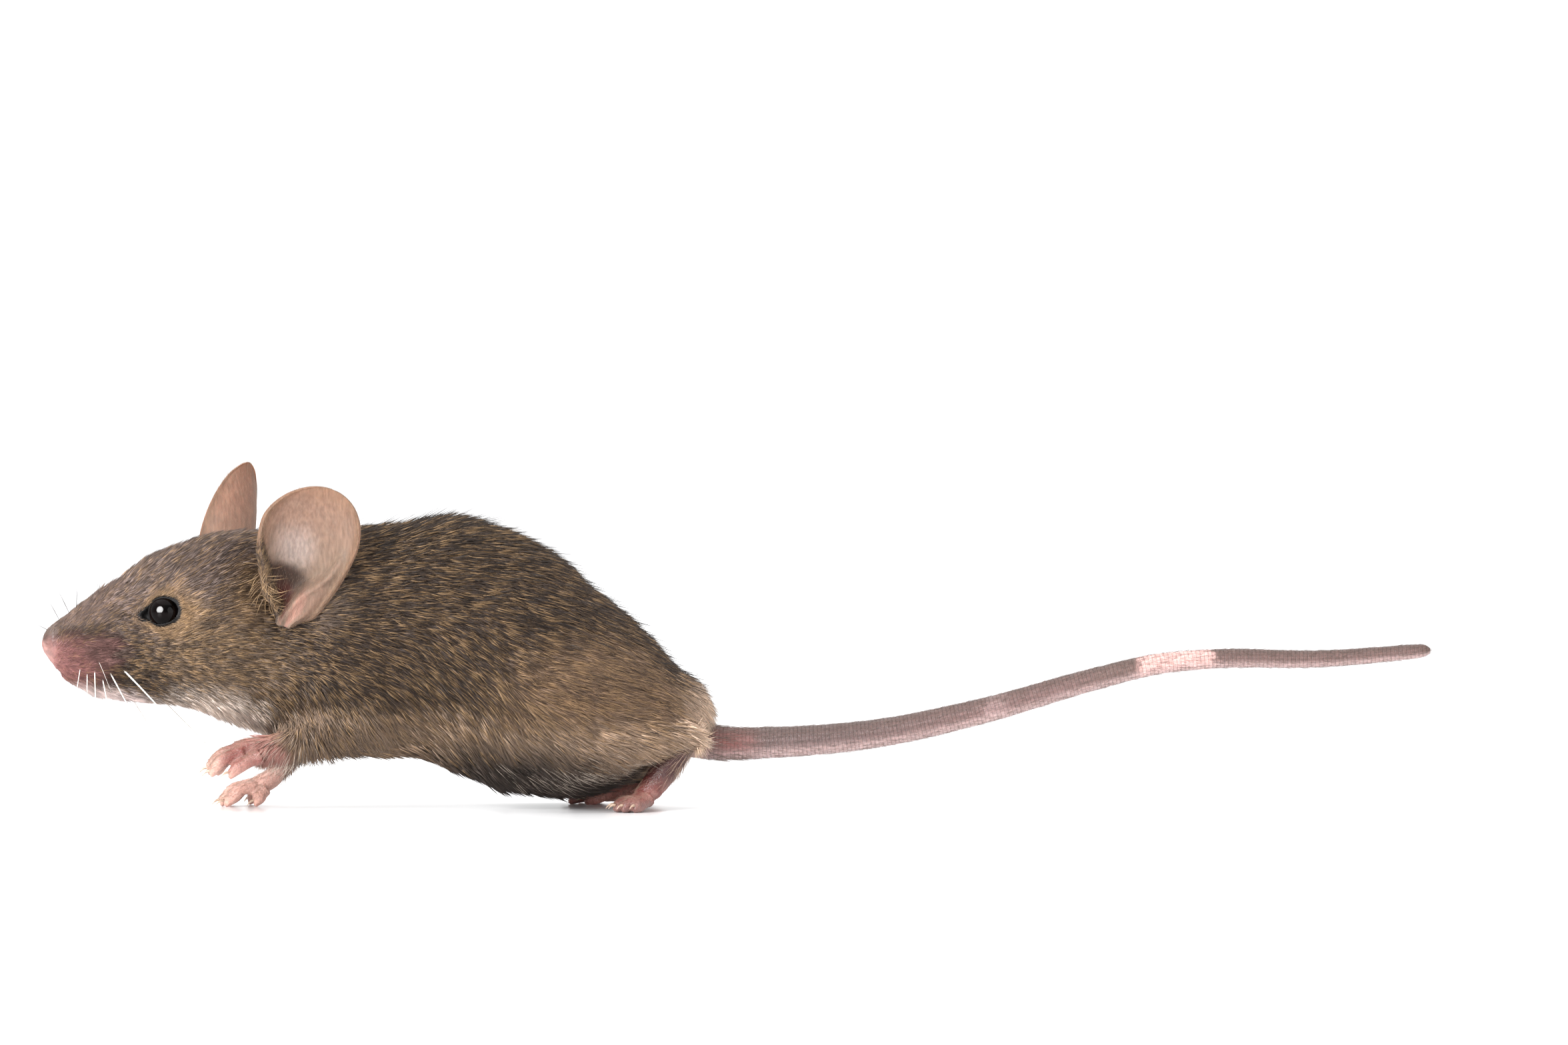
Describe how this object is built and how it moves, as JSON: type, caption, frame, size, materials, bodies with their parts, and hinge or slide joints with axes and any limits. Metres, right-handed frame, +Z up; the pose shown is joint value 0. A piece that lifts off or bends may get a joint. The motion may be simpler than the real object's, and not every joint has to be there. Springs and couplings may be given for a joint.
{
  "type": "house mouse",
  "caption": "Life-size still model of a walking house mouse: brown agouti coat, large round ears, one forepaw lifted, long bare tail held out behind.",
  "frame": {"origin": "on the floor, under the middle of the whole animal from nose tip to tail tip", "axes": "+Z up from the floor; +X towards the tail, so the mouse faces -X; its left side is towards -Y"},
  "size_m": [0.1608, 0.027, 0.0397],
  "materials": {
    "fur": "short dense agouti coat, dark on the back and buff grey low on the flanks",
    "bare_skin": "thin pink skin with a few fine pale hairs",
    "ear_skin": "thin pinkish tan skin with a very short down",
    "tail_skin": "grey-brown skin in fine rings of scales with short hairs",
    "tail_band_skin": "unpigmented pale pink skin in fine rings of scales",
    "eye": "glossy black, wet"
  },
  "bodies": {
    "root": {"nose": "fur", "head": "fur", "neck": "fur", "chest": "fur", "belly": "fur", "rump": "fur", "upper_arm_left": "fur", "upper_arm_right": "fur", "forearm_left": "fur", "forearm_right": "fur", "thigh_left": "fur", "thigh_right": "fur", "shank_left": "fur", "shank_right": "fur", "forepaw_left": "bare_skin", "forepaw_right": "bare_skin", "hind_foot_left": "bare_skin", "hind_foot_right": "bare_skin", "ear_left": "ear_skin", "ear_right": "ear_skin", "tail_root": "tail_skin", "tail_middle": "tail_skin", "tail_pale_band": "tail_band_skin", "tail_end": "tail_skin", "eye_left": "eye", "eye_right": "eye"}
  },
  "joints": []
}
